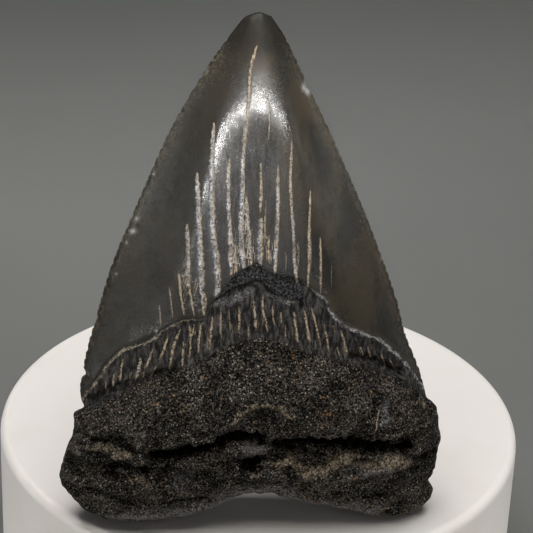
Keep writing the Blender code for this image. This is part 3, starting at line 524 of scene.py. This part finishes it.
def face_forms(s, t, u, v, front):
    """One face: its height over the plane of the cutting edges, its undercut in v, and its zones."""
    side_share = np.abs(2 * s - 1)
    half_width = 0.5 * (at_share(RIGHT, t)[0] - at_share(LEFT, t)[0])
    inset = (1 - side_share) * half_width
    rise = np.maximum(v - span(s, 0 * t)[1], 0)
    forward = ROOT_FORWARD * (1 - smooth(v, *FORWARD_FADE))
    back = int(not front)
    crown = (level(CROWN_THICKNESS[back], v) - (forward if front else -forward)) * crown_section(s, v, front)
    crown = crown + EDGE_BLUNTNESS * (1 - np.exp(-inset / EDGE_BLUNTNESS))
    crown = crown * quarter_round(1 - t, TIP_ROUND)
    root = level(ROOT_THICKNESS[back], v) * (1 - side_share**ROOT_SQUARE) ** ROOT_FULL
    root = root * quarter_round(rise, UNDERSIDE_ROUND[back])
    below_crown = level(ROOT_TOP[back], u) - v
    root_share = smooth(below_crown, ROOT_BLEND_START, ROOT_BLEND[back])
    height = root * root_share + crown * (1 - root_share)

    room = quarter_round(inset, ROOM_SIDES) * quarter_round(rise, ROOM_BELOW)
    cut = trace(FURROWS[back], u, v + wobble(u, FURROW_WOBBLE)) * room
    height = height - cut + (trace(LIPS[back], u, v) + swell(SWELLS[back], u, v)) * room
    for route, step, reach in STEPS[back]:
        above, fade = beside(route, u, v)
        raised = smooth(above, -STEP_SOFTNESS, STEP_SOFTNESS) * np.exp(-np.maximum(above, 0) / reach)
        height = height + step * fade * raised * room
    offset, strength, width = seams(CRACKS + striae() if front else CRACKS_BACK, u, v)
    groove = np.exp(-((offset - 0.3) / 0.7) ** 2) - 0.5 * np.exp(-((offset + 1.2) / 0.8) ** 2)
    pit = np.max([swell([(*pit, 1)], u, v) for pit in PITS], 0) * front
    height = height - SEAM_RELIEF * groove * strength * room - PIT_DEPTH * pit

    stray_u, stray_v = u + wobble(v + 2, STAIN_WOBBLE), v + wobble(u + 5, STAIN_WOBBLE)
    zones = {"enamel_above": beside(STEPS[back][0][0], u, v)[0], "root_below": below_crown,
             "seam": np.clip(offset, -OFF_ZONE, OFF_ZONE), "seam_near": np.exp(-np.abs(offset) / 3),
             "seam_strength": strength, "seam_width": width, "hollow": cut + 1.5 * pit,
             "tan": stain(TAN_ROUTES[back], stray_u, stray_v),
             "bloom_and_bounce": stain(BLOOM_AND_BOUNCE_ROUTES[back], stray_u, stray_v),
             "root_share": root_share}
    flake_above, flake_fade = beside(STEPS[back][-1][0], u, v)
    inside = np.minimum(flake_above, -zones["enamel_above"]) - OFF_ZONE * (1 - flake_fade * front)
    zones["bare"] = np.maximum(inside, -OFF_ZONE)
    zones["side_lip"] = smooth(np.abs(u + 1), 11, 16)
    zones["right_side"] = smooth(u, -5, 5)
    zones["edge_wear"] = np.exp(-inset / 1.1) * smooth(v, 34, 42) * (1 - smooth(v, 115, 121))
    zones["height"] = v
    on_body = 1 - smooth(np.abs(2 * s - 1 - BODY_CENTRE), 0.26, 0.5)
    zones["abraded"] = on_body * smooth(v, 58, 70) * (1 - smooth(v, 102, 112)) * front
    zones["nick"] = np.max([swell([(place, (r, r), 1)], u, v) for place, r in NICKS], 0)
    return forward, height, cut * FURROW_UNDERCUT, zones


def stain(lines, u, v):
    """How thickly sediment lies along its routes, zero to one."""
    total = np.zeros_like(u)
    for route, reach, strength in lines:
        near = around(route, u, v)
        off, fade = beside(route, u[near], v[near], 2)
        total[near] = np.maximum(total[near], strength * fade * np.exp(-(off / reach) ** 2))
    return total


def striae():
    """The lines down the band, with a fan of faint ones, and hairlines above it."""
    lot = random.Random(7)
    lines = list(STRIAE)
    start, reach = STRIA_FIELD
    for number in range(FAINT_STRIAE):
        u = start + reach * (number + lot.random()) / FAINT_STRIAE
        foot = float(level(ROOT_TOP[0], u)) + 0.5
        run = lot.uniform(*STRIA_RUN) * (1.3 - abs(u) / 60)
        lean = STRIA_LEAN * u * run
        bend = (u - lean / 2 + lot.uniform(-0.2, 0.2), foot + run / 2)
        lines.append(([(u - lean, foot + run), bend, (u, foot)], FAINT_STRIA_HALF))
    start, reach = HAIRLINE_FIELD
    for number in range(HAIRLINES):
        u = start + reach * (number + lot.random()) / HAIRLINES
        foot = float(level(ENAMEL_EDGE, u)) + lot.uniform(0, 6)
        run = lot.uniform(*HAIRLINE_RUN)
        bend = (u + lot.uniform(-0.3, 0.3), foot + run / 2)
        lines.append(([(u, foot + run), bend, (u, foot)], HAIRLINE_HALF))
    return lines


def saw_edges(s, t, u, v):
    """Cuts the serrations and the chips into the outline."""
    for curve, outward in ((LEFT, -1), (RIGHT, 1)):
        here = at_share(curve, t)
        ahead, behind = at_share(curve, np.minimum(t + 0.01, 1)), at_share(curve, np.maximum(t - 0.01, 0))
        du, dv = ahead[0] - behind[0], ahead[1] - behind[1]
        run = np.hypot(du, dv)
        arc = t * curve[1][-1]
        arc = arc + 0.7 * np.sin(0.37 * arc + outward) + 0.35 * np.sin(0.93 * arc)
        notch = np.abs(np.sin(np.pi * arc / SERRATION_PITCH)) ** 0.7 - 1
        fine = np.abs(np.sin(np.pi * arc / SERRATION_PITCH * 2 + 0.6)) ** 0.8 - 1
        crown = smooth(here[1], CROWN_SIDE_BASE, CROWN_SIDE_BASE + 5)
        crown = crown * (1 - smooth(here[1], CROWN_SIDE_TOP - 3, CROWN_SIDE_TOP))
        fade = np.exp(-np.hypot(u - here[0], v - here[1]) / SERRATION_REACH)
        shift = (SERRATION_DEPTH * notch + FINE_SERRATION_DEPTH * fine) * crown * fade
        u = u + outward * dv / run * shift
        v = v - outward * du / run * shift
    for (cu, cv), radius, depth in CHIPS:
        u = u - math.copysign(depth, cu) * np.exp(-((u - cu) ** 2 + (v - cv) ** 2) / radius**2)
    return u, v


def tooth_grid():
    """Points and zones of the front and the back, which has a third of the front's columns."""
    even = np.linspace(0, 1, COLUMNS + 1)
    shares = 0.8 * even + 0.1 * (1 - np.cos(np.pi * even))
    faces = []
    for front, columns in ((True, shares), (False, shares[::3])):
        s, t = np.meshgrid(columns, np.linspace(0, 1, ROWS + 1))
        u, v = span(s, t)
        saw_u, saw_v = saw_edges(s, t, u, v)
        forward, height, undercut, zones = face_forms(s, t, u, v, front)
        w = forward + height if front else forward - height
        faces.append((np.stack([saw_u, saw_v + undercut, w], -1), zones))
    return faces


def tooth_mesh():
    (front, front_zones), (back, back_zones) = tooth_grid()
    rows, columns = front.shape[:2]
    number = np.arange(rows * columns).reshape(rows, columns)
    inner = (rows - 2, back.shape[1] - 2)
    behind = number[:, ::3].copy()
    behind[1:-1, 1:-1] = rows * columns + np.arange(inner[0] * inner[1]).reshape(inner)
    points = np.vstack([front.reshape(-1, 3), back[1:-1, 1:-1].reshape(-1, 3)])
    zones = {name: np.r_[zone.ravel(), back_zones[name][1:-1, 1:-1].ravel()]
             for name, zone in front_zones.items()}

    def quads(n):
        return np.stack([n[:-1, :-1], n[:-1, 1:], n[1:, 1:], n[1:, :-1]], -1).reshape(-1, 4)

    faces = quads(number).tolist() + quads(behind[1:-1])[:, ::-1].tolist()
    for column in range(BACK_COLUMNS):
        rim = slice(3 * column, 3 * column + 4)
        faces.append([behind[1, column], behind[1, column + 1], *number[0, rim][::-1]])
        faces.append([behind[-2, column + 1], behind[-2, column], *number[-1, rim]])

    u, v, w = points.T
    mesh = bpy.data.meshes.new("fossil")
    mesh.from_pydata(np.stack([u, -w, v], -1) * MM, [], faces)
    roughen(mesh, zones)
    for name, values in zones.items():
        mesh.attributes.new(name, "FLOAT", "POINT").data.foreach_set("value", values.astype(np.float32))
    mesh.shade_smooth()
    return mesh


def noise_at(places, size):
    return np.array([noise.noise(Vector(place)) for place in places / (size * MM)])


def roughen(mesh, zones):
    """Moves each point along its normal by the root's lumps or the crown's faint waves."""
    count = len(mesh.vertices)
    places, normals = np.empty(count * 3), np.empty(count * 3)
    mesh.vertices.foreach_get("co", places)
    mesh.vertex_normals.foreach_get("vector", normals)
    places, normals = places.reshape(-1, 3), normals.reshape(-1, 3)
    grain = 1 - smooth(-zones["root_below"], -1.2, 0.8)
    lumps = np.zeros(count)
    root = zones["root_share"]
    for octaves, share in ((ROOT_LUMPS, root), (ROOT_GRAINS, grain), (CROWN_LUMPS, 1 - root)):
        for size, height in octaves:
            lumps += height * share * noise_at(places, size)
    crests = 1 - 2 * np.abs(noise_at(places, np.array(LEDGE_SIZE)))
    low = root * (1 - smooth(places[:, 2] / MM, *LEDGE_FADE))
    low = low * smooth(np.abs(normals[:, 1]), *LEDGE_FACING)
    zones["crest"] = low * (crests - 0.5)
    lumps += LEDGE_HEIGHT * zones["crest"]
    places += normals * lumps[:, None] * MM
    mesh.vertices.foreach_set("co", places.ravel())


class Shade:
    """A material's nodes. Sizes are in millimetres on the object."""

    def __init__(self, name):
        self.material = bpy.data.materials.new(name)
        self.material.use_nodes = True
        self.tree = self.material.node_tree
        self.place = self.add("TexCoord").outputs["Object"]

    def add(self, kind, inputs=(), **settings):
        node = self.tree.nodes.new("ShaderNode" + kind)
        for key, value in settings.items():
            setattr(node, key, value)
        for socket, value in dict(inputs).items():
            self.put(node.inputs[socket], value)
        return node

    def put(self, socket, value):
        """Links or sets a socket. A number is a grey in a socket for colours."""
        if isinstance(value, bpy.types.NodeSocket):
            self.tree.links.new(value, socket)
        elif socket.type == "RGBA":
            socket.default_value = (*(value if isinstance(value, tuple) else (value,) * 3), 1)
        else:
            socket.default_value = value

    def finish(self, inputs):
        for name, value in inputs.items():
            self.put(self.tree.nodes["Principled BSDF"].inputs[name], value)
        return self.material

    def zone(self, name):
        return self.add("Attribute", attribute_name=name).outputs["Fac"]

    def math(self, operation, first, second=0.0):
        return self.add("Math", {0: first, 1: second}, operation=operation).outputs[0]

    def plus(self, total, *values):
        for value in values:
            total = self.math("ADD", total, value)
        return total

    def times(self, total, *values):
        for value in values:
            total = self.math("MULTIPLY", total, value)
        return total

    def either(self, first, second):
        return self.math("MAXIMUM", first, second)

    def without(self, value):
        return self.math("SUBTRACT", 1.0, value)

    def weigh(self, total, weights, *values):
        """A total plus each value times its weight."""
        return self.plus(total, *(self.times(value, weight) for value, weight in zip(values, weights)))

    def between(self, share, low, high):
        """Low where the share is none, high where it is whole."""
        return self.plus(low, self.times(share, high - low))

    def reading(self, value, low, high):
        """Zero where the value is at low, one where it is at high."""
        return self.add("MapRange", {"Value": value, "From Min": low, "From Max": high},
                        interpolation_type="SMOOTHSTEP").outputs["Result"]

    def waves(self, size, detail, rough, stretch=None):
        place = self.place
        if stretch:
            place = self.add("Mapping", {"Vector": place, "Scale": Vector(stretch)}).outputs[0]
        return self.add("TexNoise", {"Vector": place, "Scale": 1 / (size * MM), "Detail": detail,
                                               "Roughness": rough}).outputs["Fac"]

    def noise(self, name):
        return self.waves(*NOISES[name])

    def centred(self, name):
        return self.math("SUBTRACT", self.noise(name), 0.5)

    def patches(self, name):
        low, high, *waves = PATCHES[name]
        return self.reading(self.waves(*waves), low, high)

    def grains(self, size, share):
        """Rounded grains that fill about a share of the surface, each of its own brightness."""
        cells = self.add("TexVoronoi", {"Vector": self.place, "Scale": 1 / (size * MM)})
        bright = self.reading(cells.outputs["Color"], 1 - share, 1.0)
        return self.times(self.without(self.reading(cells.outputs["Distance"], *GRAIN_ROUNDING)), bright)

    def mix(self, share, first, second):
        return self.add("Mix", {0: share, 6: first, 7: second}, data_type="RGBA").outputs[2]

    def paint(self, colour, *marks):
        """A colour with marks laid over it in turn, each where it lies and (its cover, its colour)."""
        for where, (cover, mark) in marks:
            colour = self.mix(self.times(where, cover), colour, mark)
        return colour

    def bump(self, height, depth):
        """Relief of the height, one of which is depth millimetres."""
        node = self.add("Bump", {"Height": height, "Distance": depth * MM, "Strength": 1.0})
        return node.outputs["Normal"]


def seam_looks(m, ragged, fleck):
    """Where seams are filled, the filling's colour with a painted highlight on its left, and a painted
    highlight on the enamel left of them.
    """
    offset = m.plus(m.zone("seam"), m.times(ragged, SEAM_RAGGED))
    across = m.times(offset, m.between(m.noise("seam_breadth"), *SEAM_BREADTH))
    off = m.math("ABSOLUTE", across)
    whole = m.plus(m.times(m.zone("seam_strength"), SEAM_HOLD), m.noise("seam_gaps"))
    broken = m.times(m.reading(whole, *SEAM_WHOLE), m.reading(m.zone("seam_near"), *SEAM_NEAR))
    width = m.zone("seam_width")
    slight = m.between(m.reading(width, *SLIGHT_SEAM), SEAM_LEAST, 1)
    fill = m.times(m.without(m.reading(off, *FILL_END)), broken, slight)
    wide = m.reading(width, *WIDE_SEAM)
    pale = m.mix(m.times(fleck, m.between(m.patches("whiter"), WHITE_LEAST, 1)), *PALE_AND_LIT_SEAM)
    faded = m.times(m.reading(m.zone("height"), *DULLER_SEAMS), SEAM_FADE)
    tan = m.mix(m.times(fleck, m.without(faded)), *TAN_SEAM)
    # Wide seams are pale on the left, pale filling with a painted highlight, and tan on the right
    colour = m.mix(m.either(m.reading(across, *TAN_START), m.without(wide)), pale, tan)
    left = m.without(m.reading(across, *LIT_SHOULDER_SIDE))
    # The shoulder: a painted highlight on the enamel left of the seam
    lit_shoulder = m.times(m.without(m.reading(off, *LIT_SHOULDER_END)), left, broken, wide, m.patches("lit_shoulder"))
    return fill, colour, lit_shoulder


def tooth_material():
    m = Shade("fossil_tooth")
    scratch, streak, grain = m.noise("scratch"), m.noise("streak"), m.noise("grain")
    ragged, patch = m.centred("ragged"), m.centred("patch")
    fleck, fibres = m.patches("fleck"), m.patches("fibres")
    height, abraded = m.zone("height"), m.zone("abraded")
    edge_wear, right_side = m.zone("edge_wear"), m.zone("right_side")

    # Where the root, enamel, its lip, the flaked patch and the hollows lie; the hollows get painted shade
    root = m.reading(m.plus(m.zone("root_below"), m.times(ragged, ROOT_RAGGED)), *ROOT_SPAN)
    edge = m.plus(m.zone("enamel_above"), m.times(ragged, ENAMEL_RAGGED))
    enamel = m.times(m.reading(edge, *ENAMEL_SPAN), m.without(root))
    lip = m.times(m.reading(edge, *LIP_START), m.without(m.reading(edge, *LIP_END)), m.zone("side_lip"),
                  m.patches("lip"))
    bare = m.reading(m.weigh(m.zone("bare"), BARE_RAGGED, ragged, m.centred("torn")), *BARE_SPAN)
    bare = m.times(bare, m.without(root))
    stony = m.either(root, bare)
    # Painted shade: darker in the furrows, the pits and the troughs between ledges
    trough = m.times(m.reading(m.zone("crest"), *TROUGHS), TROUGH_DEPTH)
    deep_shade = m.reading(m.plus(m.zone("hollow"), trough, m.times(ragged, HOLLOW_RAGGED)), *DEEP)

    # Enamel, the band below it, the root's dark matrix with grey and tan grains, and the flaked patch, both
    # with painted shade between grains
    stained = m.times(m.patches("stain"), m.between(right_side, STAIN_LEAST, 1))
    abrasion = m.times(abraded, m.patches("abrasion"))
    enamel_colour = m.paint(
        m.mix(m.patches("warm"), *ENAMEL), (stained, STAIN), (m.patches("speckle"), SPECKLE),
        (m.reading(height, *DARK_TIP), TIP_DARKENING), (abrasion, ABRASION), (m.times(abraded, fibres), FLUTING),
        (m.times(edge_wear, m.patches("edge_wear")), EDGE_WEAR))
    band_colour = m.mix(m.reading(streak, *STREAKS), *BAND)
    # Root colour follows the bump's grain: its own tone, with painted shade in the gaps between grains
    grain_tone_and_gap_shade = m.reading(m.plus(grain, m.times(patch, PATCH_HOLD)), *PEAKS)
    bared = m.between(m.reading(patch, *BARED), GRAIN_LEAST, 1)
    root_colour = m.paint(
        m.mix(grain_tone_and_gap_shade, *ROOT), (m.times(m.grains(*FINE_GRAINS), bared), FINE_GRAIN),
        (m.grains(*COARSE_GRAINS), COARSE_GRAIN), (m.times(m.grains(*RUST_GRAINS), m.patches("rust")), RUST))
    # The flaked patch too is darker between grain peaks: painted shade in the gaps
    bare_colour = m.paint(m.mix(m.reading(grain, *BARE_PEAKS), *BARE), (m.grains(*BARE_GRAINS), BARE_GRAIN))

    # Seams and lip with painted highlights, bloom with painted bounced light, silt and nicks
    fill, seam_colour, lit_shoulder = seam_looks(m, ragged, fleck)
    # Lip: tan sediment on the left, a grey painted highlight along its crest on the right, broken by dark
    # gaps
    lip_tan_and_highlight = m.mix(fleck, LIP_GAP, m.mix(right_side, *LIP_TAN_AND_HIGHLIGHT))
    spread = m.plus(m.times(m.zone("tan"), SILT_HOLD), m.noise("silt_edge"))
    silt = m.times(m.reading(spread, *SILT_SPAN), m.zone("tan"))
    silt = m.times(silt, m.between(m.reading(grain, *SILT_GRAIN), SILT_LEAST, 1))
    laid = m.either(fill, silt)
    colour = m.paint(
        m.mix(enamel, band_colour, enamel_colour), (bare, (1, bare_colour)), (root, (1, root_colour)),
        (m.times(lit_shoulder, enamel), SEAM_SHOULDER_HIGHLIGHT), (lip, (1, lip_tan_and_highlight)), (fill, (1, seam_colour)),
        (m.times(m.zone("bloom_and_bounce"), m.patches("pale_patches")), BLOOM_AND_BOUNCE),
        (silt, (1, m.mix(m.patches("silt"), *SILT))), (m.zone("nick"), NICK), (deep_shade, HOLLOW_SHADE))

    polish = m.weigh(ENAMEL_ROUGHNESS, ENAMEL_ROUGHENING, m.noise("polish"), scratch, abrasion, edge_wear)
    rough = m.mix(enamel, m.between(m.noise("band_finish"), *BAND_ROUGHNESS), polish)
    rough = m.mix(stony, rough, m.between(m.noise("root_finish"), *ROOT_ROUGHNESS))
    rough = m.mix(laid, rough, SILT_ROUGHNESS)

    gloss = m.mix(stony, m.mix(enamel, BAND_GLOSS, ENAMEL_GLOSS), m.between(grain_tone_and_gap_shade, *ROOT_GLOSS))
    gloss = m.times(gloss, m.without(m.times(abraded, m.without(fibres), ABRASION_DULLING)))
    gloss = m.times(gloss, m.between(m.plus(m.patches("mottle"), m.patches("fine_mottle")), *GLOSS_MOTTLE))
    top, base = m.reading(height, *DULL_TIP), m.without(m.reading(height, *DULL_BASE))
    dull = m.weigh(0.0, DULLING, deep_shade, edge_wear, top, base)
    gloss = m.times(gloss, m.without(m.math("MINIMUM", dull, 1.0)))

    relief = m.plus(
        m.times(stony, m.weigh(0.0, STONE_RELIEF, grain, m.noise("pores"))),
        m.times(root, m.noise("lumps"), LUMP_RELIEF),
        m.times(m.without(enamel), m.without(root), m.weigh(0.0, BAND_RELIEF, streak, grain)),
        m.times(enamel, m.weigh(0.0, ENAMEL_RELIEF, scratch, abrasion)),
        m.times(laid, m.noise("filling"), FILL_RELIEF))
    return m.finish({"Base Color": colour, "Roughness": rough, "IOR": TOOTH_IOR, "Specular IOR Level": gloss,
                     "Normal": m.bump(relief, TOOTH_RELIEF)})


def pedestal_material():
    m = Shade("white_plastic")
    return m.finish({"Base Color": m.mix(m.patches("veins"), *PEDESTAL),
                     "Roughness": m.between(m.noise("pedestal_finish"), *STAND_ROUGHNESS),
                     "Normal": m.bump(m.noise("pedestal_skin"), STAND_RELIEF)})


def floor_material():
    m = Shade("floor")
    return m.finish({"Base Color": m.mix(m.noise("floor"), *FLOOR), "Roughness": FLOOR_ROUGHNESS})


def add_object(name, data):
    thing = bpy.data.objects.new(name, data)
    bpy.context.collection.objects.link(thing)
    return thing


def add_piece(name, mesh, material, node):
    piece = add_object(name, mesh)
    mesh.materials.append(material)
    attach(piece, "root")
    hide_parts(node)
    return piece


def make_tooth():
    """The fossil, set down where the CAD tooth stands, with its contact patches worn flat."""
    mesh = tooth_mesh()
    turn = Euler((-math.radians(TOOTH_LEAN), 0, math.radians(TOOTH_YAW))).to_matrix()
    places = np.empty(len(mesh.vertices) * 3)
    mesh.vertices.foreach_get("co", places)
    stood = places.reshape(-1, 3) @ np.array(turn).T
    floor = stood[:, 2].min() + CONTACT_WEAR
    stood[:, 2] = np.maximum(stood[:, 2], floor)
    mesh.vertices.foreach_set("co", (stood @ np.array(turn)).ravel())
    piece = add_piece("fossil_tooth", mesh, tooth_material(), "tooth")
    piece.rotation_euler = turn.to_euler()
    piece.location = (*TOOTH_SPOT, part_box("tooth")[0][2] - floor)
    return piece


def make_pedestal():
    """A turned disc with a rounded rim and a small bevel at its foot."""
    rim = (STAND_RADIUS - STAND_RIM_ROUND, STAND_HEIGHT - STAND_RIM_ROUND)
    angles = [math.pi / 2 * (1 - step / STAND_RIM_STEPS) for step in range(STAND_RIM_STEPS + 1)]
    bend = [(rim[0] + STAND_RIM_ROUND * math.cos(a), rim[1] + STAND_RIM_ROUND * math.sin(a)) for a in angles]
    foot = STAND_RADIUS - STAND_FOOT_BEVEL
    profile = [(0, STAND_HEIGHT), *bend, (STAND_RADIUS, STAND_FOOT_BEVEL), (foot, 0), (0, 0)]
    form = bmesh.new()
    ring = [form.verts.new((radius, 0, height)) for radius, height in profile]
    edges = [form.edges.new(pair) for pair in zip(ring, ring[1:])]
    bmesh.ops.spin(form, geom=ring + edges, cent=(0, 0, 0), axis=(0, 0, 1), angle=2 * math.pi,
                   steps=STAND_SIDES, use_merge=True)
    bmesh.ops.remove_doubles(form, verts=form.verts, dist=MERGE_DISTANCE)
    bmesh.ops.recalc_face_normals(form, faces=form.faces)
    mesh = bpy.data.meshes.new("stand")
    form.to_mesh(mesh)
    form.free()
    mesh.shade_smooth()
    mesh.set_sharp_from_angle(angle=math.radians(STAND_SHARP_ANGLE))
    return add_piece("display_pedestal", mesh, pedestal_material(), "pedestal")


def make_floor():
    bpy.ops.mesh.primitive_plane_add(size=FLOOR_SIZE)
    floor = bpy.context.object
    floor.name = "floor"
    floor.data.materials.append(floor_material())


def direction(azimuth, elevation):
    """Unit vector towards an azimuth (0 is in front, 90 to the right) and an elevation, in degrees."""
    a, e = math.radians(azimuth), math.radians(elevation)
    return Vector((math.sin(a) * math.cos(e), -math.cos(a) * math.cos(e), math.sin(e)))


def add_light(name, spot, aim, along, size, power, colour, spread):
    """A lamp at the spot that faces its aim, with its first side turned along a direction."""
    light = bpy.data.lights.new(name, "AREA")
    light.shape = "RECTANGLE"
    light.size, light.size_y = size
    light.energy = power
    light.color = colour
    light.spread = math.radians(spread)
    back = (spot - Vector(aim)).normalized()
    side = (along - back * along.dot(back)).normalized()
    lamp = add_object(name, light)
    lamp.location = spot
    lamp.rotation_euler = Matrix((side, back.cross(side), back)).transposed().to_euler()


def arch_spot(angle):
    """A place on the arch, whose top is at angle 0 and whose feet are 90 degrees round to each side."""
    a = math.radians(angle)
    (azimuth, elevation), (sideways, up) = ARCH_CENTRE, ARCH_REACH
    toward = direction(azimuth + sideways * math.sin(a), elevation + up * math.cos(a))
    return Vector(LIT_POINT) + toward * ARCH_DISTANCE


def make_lights():
    for name, aim, toward, distance, size, power, colour, spread in LIGHTS:
        spot = Vector(aim) + direction(*toward) * distance
        add_light(name, spot, aim, direction(toward[0] + 90, 0), size, power, colour, spread)
    first, last = ARCH_RUN
    step = (last - first) / ARCH_TILES
    for number in range(ARCH_TILES):
        angle = first + number * step
        start, end = arch_spot(angle), arch_spot(angle + step)
        size = ((end - start).length, ARCH_TILE_DEPTH)
        middle = angle + step / 2
        fade = 1 - (1 - ARCH_FEET[middle > 0]) * (1 - math.cos(math.radians(middle)))
        add_light(f"arch_{number}", (start + end) / 2, ARCH_AIM, end - start, size,
                  ARCH_RADIANCE * fade * size[0] * size[1], ARCH_COLOUR, ARCH_SPREAD)


def make_room():
    world = bpy.data.worlds.new("room")
    world.use_nodes = True
    background = world.node_tree.nodes["Background"]
    background.inputs["Color"].default_value = (*ROOM_COLOUR, 1)
    background.inputs["Strength"].default_value = ROOM_LIGHT
    bpy.context.scene.world = world


def make_camera():
    lens = bpy.data.cameras.new("camera")
    lens.sensor_width = SENSOR
    lens.lens = FOCAL_LENGTH
    lens.clip_start = NEAREST_SEEN
    camera = add_object("camera", lens)
    camera.location = CAMERA_SPOT
    camera.rotation_euler = (Euler((math.radians(90 - CAMERA_PITCH), 0, 0)).to_matrix()
                             @ Euler((0, 0, math.radians(CAMERA_ROLL))).to_matrix()).to_euler()
    bpy.context.scene.camera = camera


make_tooth()
make_pedestal()
make_floor()
make_lights()
make_room()
make_camera()
bpy.context.scene.view_settings.view_transform = "Standard"
